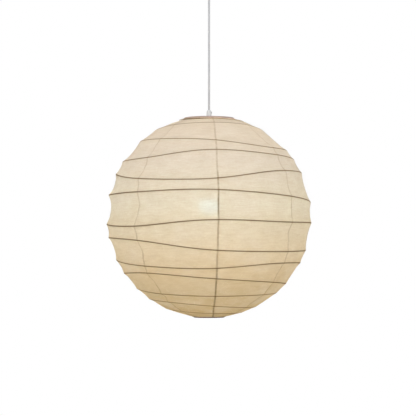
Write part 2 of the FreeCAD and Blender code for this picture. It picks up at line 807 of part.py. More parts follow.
def bulb_shells():
    """The opal globe, open at the top, and the tapered housing that it is stuck into."""
    radius = size("bulb_radius")
    wall = size("bulb_wall")
    outer = doc.addObject("Part::Sphere", "bulb_globe_outer")
    bind(outer, "Radius", radius)
    move(outer, 0, 0, bulb_middle)
    inner = doc.addObject("Part::Sphere", "bulb_globe_inner")
    bind(inner, "Radius", radius - wall)
    move(inner, 0, 0, bulb_middle)
    lid = cylinder("bulb_globe_lid", radius * 1.2, radius, z=bulb_joint)
    node(cut("bulb_globe_open", outer, inner, lid), "bulb_globe")

    edge = as_size(math.sqrt(radius.value ** 2 - size("bulb_joint_height").value ** 2))
    neck = size("bulb_neck_radius")
    outside = []
    for share in HOUSING_STEPS:
        outside.append((neck + (edge - neck) * (1 - share) ** HOUSING_TAPER,
                        bulb_joint + (screw_shell_low - bulb_joint) * share))
    inside = [(across - wall, height) for across, height in reversed(outside)]
    node(turned_body("bulb_housing", outside + inside), "bulb_housing")


def bulb_cap():
    """The screw shell with its insulator and its tip."""
    crest = size("screw_shell_radius")
    root = crest - size("screw_shell_depth")
    hollow = root - size("screw_shell_wall")
    pitch = size("screw_pitch")
    profile = [(hollow, screw_shell_low)]
    for count in range(THREAD_TURNS):
        low = screw_shell_low + pitch * count
        profile.append((root, low))
        profile.extend((crest, low + pitch * share) for share in THREAD_CREST)
    profile.append((root, screw_shell_top))
    profile.append((hollow, screw_shell_top))
    node(turned_body("bulb_screw_shell", profile), "bulb_screw_shell")
    tip = size("bulb_tip_radius")
    tip_low = screw_shell_top + size("insulator_height")
    node(turned_body("bulb_insulator", (
        (0, screw_shell_top),
        (root, screw_shell_top),
        (tip + size("insulator_land"), tip_low),
        (0, tip_low),
    )), "bulb_insulator")
    node(turned_body("bulb_tip_contact", (
        (0, tip_low),
        (tip, tip_low),
        (tip - size("bulb_tip_chamfer"), bulb_tip_top()),
        (0, bulb_tip_top()),
    )), "bulb_tip_contact")


def bulb_electronics():
    """The round board with its ring of LED chips, and the driver board standing on it."""
    board_low = bulb_joint + size("led_board_gap")
    node(cylinder("led_board_disc", size("led_board_radius"), size("led_board_thickness"), z=board_low),
         "led_board")
    chips = []
    for index in range(LED_COUNT):
        angle = 2 * math.pi * index / LED_COUNT
        chips.append(box("led_%d" % index, size("led_size"), size("led_size"), size("led_height"),
                         x=size("led_ring_radius") * round(math.cos(angle), 9),
                         y=size("led_ring_radius") * round(math.sin(angle), 9),
                         z=board_low - size("led_height")))
    node(group("led_chip_set", *chips), "led_chips")
    node(box("driver_board", size("driver_width"), size("driver_thickness"), size("driver_height"),
             z=board_low + size("led_board_thickness")), "bulb_driver")


def build():
    mounting_strap()
    rose_cup()
    rose_screws()
    terminal_low = terminal_block()
    screw_height = cord_grip("rose_cord_grip", rose_floor, mouth_up=False)
    grip_screw("rose_grip_screw", screw_height)
    nipple("rose_nipple", rose_floor - size("grip_socket_depth"),
           rose_floor + size("rose_wall") + size("nipple_overrun"))
    hex_nut("rose_nut", rose_floor + size("rose_wall"))
    cord_tail(terminal_low)
    hanging_cord()
    screw_height = cord_grip("globe_cord_grip", hub_face, mouth_up=True)
    grip_screw("globe_grip_screw", screw_height)
    nipple("globe_nipple", hub_underside - size("nipple_overrun"), hub_face + size("grip_socket_depth"))
    hex_nut("globe_nut", hub_underside - size("nut_height"))
    inner_cord()
    spider()
    bottom_ring()
    paper_gores()
    ribs()
    holder_casing()
    holder_contacts()
    lock_ring()
    bulb_shells()
    bulb_cap()
    bulb_electronics()


def check_and_export():
    """Stops on any failed object, then writes one STEP file per sub-part."""
    doc.recompute()
    for obj in doc.Objects:
        if "Invalid" in obj.State or "Error" in obj.State:
            raise RuntimeError("%s failed: %s" % (obj.Name, obj.State))
    for obj in sub_parts:
        if obj.Shape.isNull() or not obj.Shape.isValid() or not obj.Shape.Solids:
            raise RuntimeError("%s has no valid solid" % obj.Label)
        obj.Shape.exportStep("parts/%s.step" % obj.Label)
    print("%d sub-parts written" % len(sub_parts))


build()
check_and_export()
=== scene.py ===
import json
import math

import bmesh
import bpy
import numpy as np
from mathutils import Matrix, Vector, noise


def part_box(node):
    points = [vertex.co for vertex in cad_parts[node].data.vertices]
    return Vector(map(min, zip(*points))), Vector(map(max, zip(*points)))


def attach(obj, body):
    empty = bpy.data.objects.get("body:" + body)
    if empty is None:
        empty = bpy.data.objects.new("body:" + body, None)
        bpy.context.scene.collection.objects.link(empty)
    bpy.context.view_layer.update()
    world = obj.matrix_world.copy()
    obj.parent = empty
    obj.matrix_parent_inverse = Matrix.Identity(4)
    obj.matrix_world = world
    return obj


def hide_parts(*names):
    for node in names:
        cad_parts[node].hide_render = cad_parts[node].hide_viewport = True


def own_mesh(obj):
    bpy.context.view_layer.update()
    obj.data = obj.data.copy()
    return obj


# Paper globe pendant, in metres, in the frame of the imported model: the ceiling is at zero, the
# front is -Y and the lamp's right-hand side is +X.  Longitudes go from the front to the right.

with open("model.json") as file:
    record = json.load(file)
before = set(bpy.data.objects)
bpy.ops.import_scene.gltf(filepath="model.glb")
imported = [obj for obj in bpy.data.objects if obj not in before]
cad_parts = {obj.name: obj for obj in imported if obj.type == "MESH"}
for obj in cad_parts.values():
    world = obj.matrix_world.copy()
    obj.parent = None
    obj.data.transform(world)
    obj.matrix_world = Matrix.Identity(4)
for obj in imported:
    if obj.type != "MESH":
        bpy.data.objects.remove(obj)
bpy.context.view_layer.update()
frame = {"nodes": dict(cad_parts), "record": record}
nodes = frame["nodes"]
scene = bpy.context.scene


# ---------------------------------------------------------------- sizes read from the frame
def ring_of(node):
    """Radius of a wire ring's centre line, its height and the wire's own radius."""
    low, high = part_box(node)
    wire = (high.z - low.z) / 2
    return high.x - wire, (low.z + high.z) / 2, wire


TOP_RADIUS, TOP_Z, WIRE = ring_of("top_ring")
BOTTOM_RADIUS, BOTTOM_Z, _ = ring_of("bottom_ring")
RING_GAP = 0.0003                       # between a ring and the paper's edge
GORES = sorted(name for name in nodes if name.startswith("paper_gore_"))
RIBS = sorted(name for name in nodes if name.startswith("rib_"))
GLOBE_RADIUS = max(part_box(name)[1].x for name in GORES)
top_share = math.sqrt(1 - ((TOP_RADIUS + WIRE + RING_GAP) / GLOBE_RADIUS) ** 2)
bottom_share = math.sqrt(1 - ((BOTTOM_RADIUS + WIRE + RING_GAP) / GLOBE_RADIUS) ** 2)
HALF_HEIGHT = (TOP_Z - BOTTOM_Z) / (top_share + bottom_share)
MIDDLE_Z = TOP_Z - HALF_HEIGHT * top_share
LOWER_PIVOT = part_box("globe_cord_grip")[1].z
UPPER_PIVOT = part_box("rose_cord_grip")[0].z
CORD_DIAMETER = 0.006

RIB_INSET = 0.00145                     # from the globe's surface to the strip's middle
RIB_WIDTH = 0.0023
RIB_THICKNESS = 0.0016
CREST_INSET = 0.0003                    # of the paper where it lies on the strip
STATION_STEP = 5.0                      # degrees between the strip's sections
STATION_NEAR = 0.6                      # degrees within which a point belongs to a section


# ---------------------------------------------------------------- camera
CAMERA_ASIDE = -0.003
CAMERA_DISTANCE = 5.0
CAMERA_DROP = 0.12                      # below the globe's middle
AIM_RISE = 0.025                        # above the globe's middle
SENSOR_WIDTH = 36.0                     # millimetres, as the lens
LENS = 148.0


def make_camera():
    """Level with a point a little below the globe's middle, and aimed a little above it."""
    data = bpy.data.cameras.new("camera")
    data.sensor_width = SENSOR_WIDTH
    data.lens = LENS
    camera = bpy.data.objects.new("camera", data)
    scene.collection.objects.link(camera)
    camera.location = (CAMERA_ASIDE, -CAMERA_DISTANCE, MIDDLE_Z - CAMERA_DROP)
    aim = Vector((CAMERA_ASIDE, 0.0, MIDDLE_Z + AIM_RISE))
    camera.rotation_euler = (aim - camera.location).to_track_quat("-Z", "Y").to_euler()
    scene.camera = camera


make_camera()


# ---------------------------------------------------------------- shader nodes in short calls
class Paint:
    """A material made of linked shader nodes."""

    def __init__(self, name):
        self.material = bpy.data.materials.new(name)
        self.material.use_nodes = True
        self.tree = self.material.node_tree
        self.tree.nodes.clear()

    def node(self, kind, sockets=(), **settings):
        made = self.tree.nodes.new("ShaderNode" + kind)
        for setting, value in settings.items():
            setattr(made, setting, value)
        for socket, value in dict(sockets).items():
            if isinstance(value, bpy.types.NodeSocket):
                self.tree.links.new(value, made.inputs[socket])
            else:
                made.inputs[socket].default_value = value
        return made

    def place(self):
        """The point in the object's own frame, in metres."""
        return self.node("TexCoord").outputs["Object"]

    def flat(self):
        """The point on the flat sheet or strip, in metres."""
        return self.node("UVMap", uv_map="flat").outputs["UV"]

    def stretched(self, vector, scale):
        return self.node("Mapping", {"Vector": vector, "Scale": scale}).outputs["Vector"]

    def noise(self, vector, scale, detail=2.0, roughness=0.5, distortion=0.0):
        sockets = {"Vector": vector, "Scale": scale, "Detail": detail, "Roughness": roughness,
                   "Distortion": distortion}
        return self.node("TexNoise", sockets).outputs["Fac"]

    def cell_edges(self, vector, scale):
        """Distance to the nearest edge between two cells."""
        sockets = {"Vector": vector, "Scale": scale}
        return self.node("TexVoronoi", sockets, feature="DISTANCE_TO_EDGE").outputs["Distance"]

    def levels(self, value, low, high, out_low, out_high):
        """A value between two levels, spread over two others and held there beyond them."""
        sockets = {"Value": value, "From Min": low, "From Max": high, "To Min": out_low, "To Max": out_high}
        return self.node("MapRange", sockets, clamp=True).outputs["Result"]

    def maths(self, operation, *values):
        return self.node("Math", dict(enumerate(values)), operation=operation).outputs[0]

    def blend(self, factor, first, second, mode="MIX"):
        made = self.node("Mix", {0: factor}, data_type="RGBA", blend_type=mode)
        for socket, value in ((6, first), (7, second)):
            if isinstance(value, bpy.types.NodeSocket):
                self.tree.links.new(value, made.inputs[socket])
            else:
                made.inputs[socket].default_value = (*value, 1.0)
        return made.outputs[2]

    def ramp(self, value, stops):
        """A colour by value, from stops of a value from 0 to 1 and its colour."""
        made = self.node("ValToRGB", {"Fac": value})
        while len(made.color_ramp.elements) < len(stops):
            made.color_ramp.elements.new(1.0)
        for element, (position, colour) in zip(made.color_ramp.elements, stops):
            element.position = position
            element.color = (*colour, 1.0)
        return made.outputs["Color"]

    def axis(self, vector, letter):
        return self.node("SeparateXYZ", {"Vector": vector}).outputs[letter]

    def attribute(self, name):
        """A value stored on the mesh's points."""
        return self.node("Attribute", attribute_name=name).outputs["Fac"]

    def part_of(self, factor, share):
        return self.maths("MULTIPLY", factor, share)

    def bump(self, height, distance, strength=1.0):
        sockets = {"Height": height, "Distance": distance, "Strength": strength}
        return self.node("Bump", sockets).outputs["Normal"]

    def finish(self, shader):
        output = self.tree.nodes.new("ShaderNodeOutputMaterial")
        self.tree.links.new(shader, output.inputs["Surface"])
        return self.material


def dress(obj, material):
    obj.data.materials.clear()
    obj.data.materials.append(material)


# ---------------------------------------------------------------- mesh helpers
def link(name, data):
    obj = bpy.data.objects.new(name, data)
    scene.collection.objects.link(obj)
    return obj


def grid_mesh(name, points, closed_rows=False, closed_columns=False, caps=False):
    """A smooth mesh of quads over an array of points by row and column."""
    rows, columns = points.shape[:2]
    numbers = np.arange(rows * columns).reshape(rows, columns)
    if closed_rows:
        numbers = np.vstack([numbers, numbers[:1]])
    if closed_columns:
        numbers = np.hstack([numbers, numbers[:, :1]])
    corners = (numbers[:-1, :-1], numbers[1:, :-1], numbers[1:, 1:], numbers[:-1, 1:])
    faces = np.stack(corners, axis=-1).reshape(-1, 4).tolist()
    if caps:
        faces.append(list(range(columns)))
        faces.append(list(range(rows * columns - 1, (rows - 1) * columns - 1, -1)))
    mesh = bpy.data.meshes.new(name)
    mesh.from_pydata(points.reshape(-1, 3).tolist(), [], faces)
    mesh.polygons.foreach_set("use_smooth", [True] * len(mesh.polygons))
    mesh.update()
    return link(name, mesh)


def set_flat(mesh, coordinates):
    """Stores the flat sheet's coordinates, in metres, as the mesh's map."""
    layer = mesh.uv_layers.new(name="flat")
    vertex_of = np.empty(len(mesh.loops), int)
    mesh.loops.foreach_get("vertex_index", vertex_of)
    places = np.asarray(coordinates, np.float32).reshape(-1, 2)
    layer.data.foreach_set("uv", places[vertex_of].ravel())


def set_value(mesh, name, values):
    attribute = mesh.attributes.new(name, "FLOAT", "POINT")
    attribute.data.foreach_set("value", np.asarray(values, np.float32).ravel())


def noise_at(points):
    """Smooth noise from about -1 to 1 at each of an array of points."""
    values = [noise.noise(Vector(point)) for point in points.reshape(-1, 3)]
    return np.array(values).reshape(points.shape[:-1])


# ---------------------------------------------------------------- the globe's surface
def surface(latitude, longitude, inset):
    """Points on the globe at a latitude of its ellipse and a longitude, moved in by an inset."""
    across = np.cos(latitude) / GLOBE_RADIUS
    upward = np.sin(latitude) / HALF_HEIGHT
    size = np.hypot(across, upward)
    radius = GLOBE_RADIUS * np.cos(latitude) - inset * across / size
    height = HALF_HEIGHT * np.sin(latitude) - inset * upward / size
    return np.stack([radius * np.sin(longitude), -radius * np.cos(longitude), MIDDLE_Z + height], axis=-1)


def strip_stations():
    """Latitude of the bamboo strip's middle at even steps of longitude, over all its turns."""
    latitudes = []
    for index, name in enumerate(RIBS):
        points = np.array([vertex.co for vertex in nodes[name].data.vertices])
        longitude = np.degrees(np.arctan2(points[:, 0], -points[:, 1]))
        first = -180.0 if index == 0 else STATION_STEP - 180.0
        for position in np.arange(first, 180.0 + STATION_NEAR, STATION_STEP):
            offset = np.abs((longitude - position + 180.0) % 360.0 - 180.0)
            heights = points[offset < STATION_NEAR, 2]
            if position == -180.0:
                heights = heights[heights > heights.mean()]
            if position == 180.0:
                heights = heights[heights < heights.mean()]
            height = (heights.min() + heights.max()) / 2 - MIDDLE_Z
            latitudes.append(math.asin(height / (HALF_HEIGHT - RIB_INSET)))
    return np.array(latitudes)


STATIONS = strip_stations()
TURN = 2 * math.pi
STRIP_END = TURN * len(RIBS)
RUN_ON = 0.01                           # the strip's slope where it would go on past its ends


def strip_latitude(turned):
    """Latitude of the strip after it has turned by an angle from its start at the back."""
    turned = np.asarray(turned, float)
    last = len(STATIONS) - 1
    place = np.clip(turned, 0, STRIP_END) / math.radians(STATION_STEP)
    index = np.minimum(place.astype(int), last - 1)
    along = place - index
    before = STATIONS[np.maximum(index - 1, 0)]
    start = STATIONS[index]
    end = STATIONS[index + 1]
    after = STATIONS[np.minimum(index + 2, last)]
    bend = 2 * before - 5 * start + 4 * end - after
    twist = 3 * (start - end) + after - before
    level = start + 0.5 * along * (end - before + along * (bend + along * twist))
    beyond = np.clip(turned - STRIP_END, 0, None) + np.clip(turned, None, 0)
    return level - RUN_ON * beyond


# ---------------------------------------------------------------- paper gores
LAP = 0.0045                            # the paper's overlap at a seam
LAP_LIFT = 0.00028                      # of the upper sheet over the lower one
LAP_SIDE = 0.575                        # share of the lap from the seam to the first plain column
COLUMN = 0.0052                         # between two columns of the mesh
ROW = 0.0062                            # between two rows
NEAR_STRIP = ((0.0007, 0.06), (0.0016, 0.13), (0.0033, 0.24))   # rows: metres, at most a share
COLLAR = 0.013                          # paper between the top ring and the fold under it
COLLAR_DIP = 0.0032                     # depth of that fold below the globe's surface
TOP_LATITUDE = math.asin(top_share)
BOTTOM_LATITUDE = -math.asin(bottom_share)
MEAN_RADIUS = (GLOBE_RADIUS + HALF_HEIGHT) / 2
ROUND_OVER = 0.0012                     # of the paper where it leaves the strip
SAG_PER_GAP = 0.078                     # depth of a hollow, as a share of its height
CRUMPLE = (0.0009, 0.00035)             # coarse and fine
FLUTES = 0.00030                        # creases across a panel
SEAM_FLUTES = 0.00035                   # and how much deeper they are at a seam
GLUE = 0.00122                          # reach of the strip's stain and of its painted shadow at the top
FOLD_SHADE_WIDTH = 0.0012                     # of the painted shade line in the fold under the top ring
OVER_RING = 0.010                       # height of the doubled paper over the bottom ring
SEAM_REACH = 0.02                       # from a seam, of the deeper creases
FULL_SLACK = 0.05                       # height of a panel that creases to its full depth
LAP_EDGE = 1.075                        # where the seam's stain ends, as a share of the lap
LAP_SOFTNESS = 0.06                     # of that end, as a share of the lap
LAP_FADE = (2.4, 1.4)                   # where the lap's lift ends and over how much, in laps
SETTLING_ROUNDS = 3                     # for a row and the seam that strays along it


def gore_span(name):
    """First and last longitude of a CAD gore."""
    points = np.array([vertex.co for vertex in nodes[name].data.vertices])
    centre = math.atan2(points[:, 0].mean(), -points[:, 1].mean())
    offset = (np.arctan2(points[:, 0], -points[:, 1]) - centre + math.pi) % TURN - math.pi
    return centre + offset.min(), centre + offset.max()


SPANS = [gore_span(name) for name in GORES]
FRONT_SEAM = min(range(len(GORES)), key=lambda index: abs(SPANS[index][0]))
DRIFT_LATITUDES = np.linspace(BOTTOM_LATITUDE, TOP_LATITUDE, 160)
FRONT_DRIFT_TOP = 0.005                 # of the front seam, which is laid straighter than the others
FRONT_DRIFT_BOTTOM = 0.007
FRONT_DRIFT_SLOW = 0.0015
DRIFT_SLOW = 0.010                      # of the other seams, in long waves
DRIFT_QUICK = 0.004                     # and in short ones
FRONT_SEAM_BY_LATITUDE = (              # radians, then how dark the paste leaves the seam
    (-1.2, 1.0), (-0.5, 0.7), (-0.15, 0.5), (0.05, 1.0), (0.2, 0.8), (0.5, 0.5), (1.2, 0.38))
SEAM_BY_LATITUDE = ((-1.2, 0.65), (-0.3, 0.45), (0.5, 0.35), (1.2, 0.25))


def seam_drift(seam):
    """How far a hand-laid seam strays to the right of its meridian, in metres, at each drift latitude."""
    where = np.stack([DRIFT_LATITUDES, 0 * DRIFT_LATITUDES + 7.3 * seam, 0 * DRIFT_LATITUDES], axis=-1)
    slow = noise_at(where * (4.0, 1.0, 1.0))
    if seam == FRONT_SEAM:
        above = np.clip(DRIFT_LATITUDES / TOP_LATITUDE, 0, 1) ** 4
        under = np.clip(DRIFT_LATITUDES / BOTTOM_LATITUDE, 0, 1) ** 4
        return FRONT_DRIFT_TOP * above + FRONT_DRIFT_BOTTOM * under + FRONT_DRIFT_SLOW * slow
    return DRIFT_SLOW * slow + DRIFT_QUICK * noise_at(where * (15.0, 1.0, 1.0) + (3.1, 0.0, 5.0))


DRIFTS = [seam_drift(seam) for seam in range(len(GORES))]


def seam_strength(seam, latitude):
    """How dark the paste leaves a seam: most so on the front one, near its middle and its foot."""
    latitudes, strengths = zip(*(FRONT_SEAM_BY_LATITUDE if seam == FRONT_SEAM else SEAM_BY_LATITUDE))
    return np.interp(latitude, latitudes, strengths)


def line_latitude(line, longitude, crosses_back):
    """Latitude of a line across a gore: its top edge, each pass of the strip, its bottom edge."""
    if line == 0:
        return np.full_like(longitude, TOP_LATITUDE)
    if line > len(RIBS) + crosses_back:
        return np.full_like(longitude, BOTTOM_LATITUDE)
    return strip_latitude(longitude + math.pi + TURN * (line - 1 - crosses_back))


def collar_rules():
    """Rows at the fold under the top ring, in the same form as those between two passes."""
    steps = [COLLAR * part for part in (0.3, 0.6, 0.85, 0.93, 1.0, 1.07, 1.15)]
    return [lambda gap, step=step: step / gap for step in steps]


def row_rules(count):
    """For each row of a panel between two lines, its share of the way down as a function of their gap."""
    near = [lambda gap, near=near, most=most: np.minimum(near / gap, most) for near, most in NEAR_STRIP]
    edge = near[-1]
    parts = [step / count for step in range(1, count)]
    inner = [lambda gap, part=part: edge(gap) + (1 - 2 * edge(gap)) * part for part in parts]
    far = [lambda gap, rule=rule: 1 - rule(gap) for rule in reversed(near)]
    return [lambda gap: 0 * gap] + near + inner + far


def gore_columns(width):
    """For each column, its fixed distance from the left seam and its share of the gore's width."""
    side = LAP * LAP_SIDE
    lap = [-LAP / 2, 0.0, LAP / 2, side]
    parts = np.linspace(0, 1, max(3, round((width - 2 * side) / COLUMN)) + 1)[1:-1]
    fixed = lap + [side * (1 - 2 * part) for part in parts] + [-place for place in reversed(lap)]
    return np.array(fixed), np.array([0.0] * len(lap) + list(parts) + [1.0] * len(lap))


def gore_grid(index):
    """Latitude, longitude and distances to the lines above and below, by row and column of a gore."""
    start, end = SPANS[index]
    crosses_back = int(end > math.pi)
    fixed, share = gore_columns((end - start) * GLOBE_RADIUS)
    level = start + (end - start) * share
    lines = len(RIBS) + crosses_back + 2
    rows = []
    for line in range(lines - 1):
        upper = line_latitude(line, level, crosses_back)
        height = float((upper - line_latitude(line + 1, level, crosses_back)).mean()) * MEAN_RADIUS
        rules = row_rules(max(2, round(height / ROW)))
        if line == 0:
            even = [rule for rule in rules if rule(height) * height > 1.4 * COLLAR]
            rules = rules[:1] + collar_rules() + even
        rows += [(line, rule) for rule in rules]
    rows.append((lines - 2, lambda gap: 0 * gap + 1))
    grid = []
    for line, rule in rows:
        longitude = level
        for _ in range(SETTLING_ROUNDS):
            upper = line_latitude(line, longitude, crosses_back)
            lower = line_latitude(line + 1, longitude, crosses_back)
            gap = np.maximum(upper - lower, 1e-4) * MEAN_RADIUS
            down = rule(gap)
            latitude = upper + (lower - upper) * down
            drift = np.interp(latitude, DRIFT_LATITUDES, DRIFTS[index]) * (1 - share)
            drift += np.interp(latitude, DRIFT_LATITUDES, DRIFTS[(index + 1) % len(GORES)]) * share
            longitude = level + (fixed + drift) / (GLOBE_RADIUS * np.cos(latitude))
        grid.append((latitude, longitude, down * gap, (1 - down) * gap))
    return [np.array(values) for values in zip(*grid)]


def hollow_of(above, below):
    """0 at the strip to 1 in the middle of a panel: how far the paper has sunk to its full depth."""
    rise = np.sqrt(above ** 2 + ROUND_OVER ** 2) - ROUND_OVER
    fall = np.sqrt(below ** 2 + ROUND_OVER ** 2) - ROUND_OVER
    return 1 - np.abs((rise - fall) / (rise + fall)) ** 2.5


def collar_dip(latitude):
    """How far the paper dips below the globe's surface at the fold under the top ring."""
    down = (TOP_LATITUDE - latitude) * MEAN_RADIUS
    rise = np.clip(down / COLLAR, 0, 1)
    fall = np.clip(1 - (down - COLLAR) / (2.2 * COLLAR), 0, 1)
    return COLLAR_DIP * np.minimum(rise, fall)


def gore_inset(index, latitude, longitude, above, below, from_left, from_right):
    """How far a gore lies inside the globe's surface, with its hollows, creases and lap."""
    gap = above + below
    hollow = hollow_of(above, below)
    skin = surface(latitude, longitude, 0.0)
    slack = (1 + 0.25 * noise_at(skin * 9.0)) * (1 - 0.2 * np.sin(longitude))
    slack *= 0.15 + 0.85 * np.cos(latitude) ** 2
    crumple = CRUMPLE[0] * noise_at(skin * 22.0 + 3.0) + CRUMPLE[1] * noise_at(skin * 60.0)
    run = longitude * GLOBE_RADIUS * np.cos(latitude)
    along = np.stack([run * 105.0, latitude * MEAN_RADIUS * 16.0, 0 * gap + index], axis=-1)
    seam_near = np.exp(-(np.minimum(from_left, from_right) / SEAM_REACH) ** 2)
    flutes = (FLUTES + SEAM_FLUTES * seam_near) * noise_at(along)
    sag = hollow * slack * (gap ** 2 / (8 * MEAN_RADIUS) + SAG_PER_GAP * gap)
    looseness = np.clip(gap / FULL_SLACK, 0, 1)
    lift = LAP_LIFT * np.clip((LAP_FADE[0] * LAP - from_left) / (LAP_FADE[1] * LAP), 0, 1)
    return CREST_INSET + sag + (crumple + flutes) * hollow * looseness - lift + collar_dip(latitude)


def store_gore_values(mesh, index, latitude, above, below, from_left, from_right):
    """Stores where the paper is lapped, lies on the strip (its stain and painted shadow) or in the fold's
    painted shade under the top ring, or is doubled at a ring.
    """
    lap_left = np.clip((LAP * LAP_EDGE - from_left) / (LAP * LAP_SOFTNESS), 0, 1)
    lap_left *= seam_strength(index, latitude)
    lap_right = np.clip((LAP * LAP_EDGE - from_right) / (LAP * LAP_SOFTNESS), 0, 1)
    lap_right *= seam_strength((index + 1) % len(GORES), latitude)
    set_value(mesh, "lap", np.maximum(lap_left, lap_right))
    low = np.clip(latitude / BOTTOM_LATITUDE, 0, 1)
    glue = GLUE * (1 + 0.5 * low ** 3 + 1.6 * low ** 16)
    # painted shade in the fold under the top ring, stored with the strip's values
    fold = 0.45 * np.exp(-((TOP_LATITUDE - latitude) * MEAN_RADIUS - COLLAR) ** 2 / FOLD_SHADE_WIDTH ** 2)
    set_value(mesh, "strip", np.maximum(np.exp(-(np.minimum(above, below) / glue) ** 2), fold))
    under_ring = latitude > TOP_LATITUDE - COLLAR / MEAN_RADIUS
    over_ring = latitude < BOTTOM_LATITUDE + OVER_RING / MEAN_RADIUS
    set_value(mesh, "collar", (under_ring | over_ring) * 1.0)


def make_gore(index, material):
    """One gore, pasted over the strip from ring to ring, hollow and creased between its passes."""
    start, end = SPANS[index]
    latitude, longitude, above, below = gore_grid(index)
    radius = GLOBE_RADIUS * np.cos(latitude)
    from_left = (longitude - start) * radius + LAP / 2
    from_left -= np.interp(latitude, DRIFT_LATITUDES, DRIFTS[index])
    from_right = (end - longitude) * radius + LAP / 2
    from_right += np.interp(latitude, DRIFT_LATITUDES, DRIFTS[(index + 1) % len(GORES)])
    inset = gore_inset(index, latitude, longitude, above, below, from_left, from_right)
    gore = grid_mesh("gore_%d" % (index + 1), surface(latitude, longitude, inset))
    middle = (start + end) / 2
    set_flat(gore.data, np.stack([(longitude - middle) * radius + index, latitude * MEAN_RADIUS], axis=-1))
    store_gore_values(gore.data, index, latitude, above, below, from_left, from_right)
    dress(gore, material)
    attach(gore, "globe")
    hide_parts(GORES[index])
    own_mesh(gore)


# ---------------------------------------------------------------- paper hems round the wire rings
ARM_LONGITUDES = (60, 180, 300)         # where the spider's arms meet the top ring
SKIRT_REACHES = (0.0046, 0.0032, 0.0018, 0.0006)    # rows of the hem's outer skirt, from the edge
SKIRT_LIFT = 0.00015                    # of the skirt over the paper
FLAP_REACHES = (0.0024, 0.0040, 0.0058)             # rows of its inner flap
FLAP_INSET = 0.0011
WRAP_ANGLES = range(10, 311, 25)        # degrees round the wire
WRAP_GAP = 0.0005                       # of the paper over the wire
WRAP_RIPPLE = 0.00012
HEM_COLUMNS = 216
NOTCH_EDGE = 0.0004                     # inside the wire's middle, where a notch starts
NOTCH_GAP = 0.0009                      # beside an arm
HEM_ROW = 0.0016                        # between two rows, on the flat sheet


def make_hem(name, body, ring, edge_latitude, material, notches=()):
    """The paper's turned-in edge round a wire ring: a skirt outside, a wrap and a flap inside."""
    ring_radius, ring_z, wire = ring
    up = 1 if edge_latitude > 0 else -1
    longitude = np.linspace(0, TURN, HEM_COLUMNS, endpoint=False)
    ripple = noise_at(np.stack([np.sin(longitude) * 9, np.cos(longitude) * 9, 0 * longitude + up], axis=-1))

    def row_at(reach, most, waver, inset):
        latitude = edge_latitude - up * (reach + waver * ripple * reach / most) / MEAN_RADIUS
        return surface(latitude, longitude, (collar_dip(latitude) if up > 0 else 0.0) + inset)

    rows = [row_at(reach, SKIRT_REACHES[0], 0.0006, -SKIRT_LIFT) for reach in SKIRT_REACHES]
    wrap = wire + WRAP_GAP + WRAP_RIPPLE * ripple
    for angle in np.radians(WRAP_ANGLES):
        radius = ring_radius + wrap * np.cos(angle)
        height = 0 * longitude + ring_z + up * wrap * np.sin(angle)
        rows.append(np.stack([radius * np.sin(longitude), -radius * np.cos(longitude), height], axis=-1))
    rows += [row_at(reach, FLAP_REACHES[-1], 0.0008, FLAP_INSET) for reach in FLAP_REACHES]
    points = np.stack(rows, axis=1)
    hem = grid_mesh(name, points, closed_rows=True)
    columns = points.shape[1]
    round_ring = np.repeat(longitude * ring_radius, columns)
    across_hem = np.tile(np.arange(columns) * HEM_ROW, len(longitude))
    set_flat(hem.data, np.stack([round_ring, across_hem], axis=-1))
    # painted shade on the paper wrapped round the wire: faint at the top ring, full under the bottom ring
    wrap_shade = 0.08 if up > 0 else 1.0
    wrap_shade_rows = [0.0] * len(SKIRT_REACHES) + [wrap_shade] * len(WRAP_ANGLES) + [0.0] * len(FLAP_REACHES)
    set_value(hem.data, "lap", np.full(len(hem.data.vertices), 0.15))
    set_value(hem.data, "strip", np.tile(wrap_shade_rows, len(longitude)))
    set_value(hem.data, "collar", np.full(len(hem.data.vertices), 1.0))
    if notches:
        cut_notches(hem, ring_radius, notches)
    dress(hem, material)
    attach(hem, body)


def cut_notches(hem, ring_radius, longitudes):
    """Opens the wrap on its inner side where an arm is welded to the ring."""
    mesh = bmesh.new()
    mesh.from_mesh(hem.data)
    gone = []
    for face in mesh.faces:
        centre = face.calc_center_median()
        inward = math.hypot(centre.x, centre.y) < ring_radius - NOTCH_EDGE
        for arm in longitudes:
            turned = math.atan2(centre.x, -centre.y) - math.radians(arm)
            aside = abs((turned + math.pi) % TURN - math.pi) * ring_radius
            if inward and aside < WIRE + NOTCH_GAP:
                gone.append(face)
    bmesh.ops.delete(mesh, geom=gone, context="FACES")
    mesh.to_mesh(hem.data)
    mesh.free()


# ---------------------------------------------------------------- bamboo strip
STRIP_STEP = math.radians(1.25)
KNOT_SPACING = 0.235                    # between two knots of the bamboo
KNOT_LENGTH = 0.004
KNOT_SWELL = 0.22
STRIP_CORNERS = 12
SQUARENESS = 0.6                        # 1 for an oval section, less for a squarer one
STRIP_ROUND = 0.0065                    # round the strip's section, on its flat map


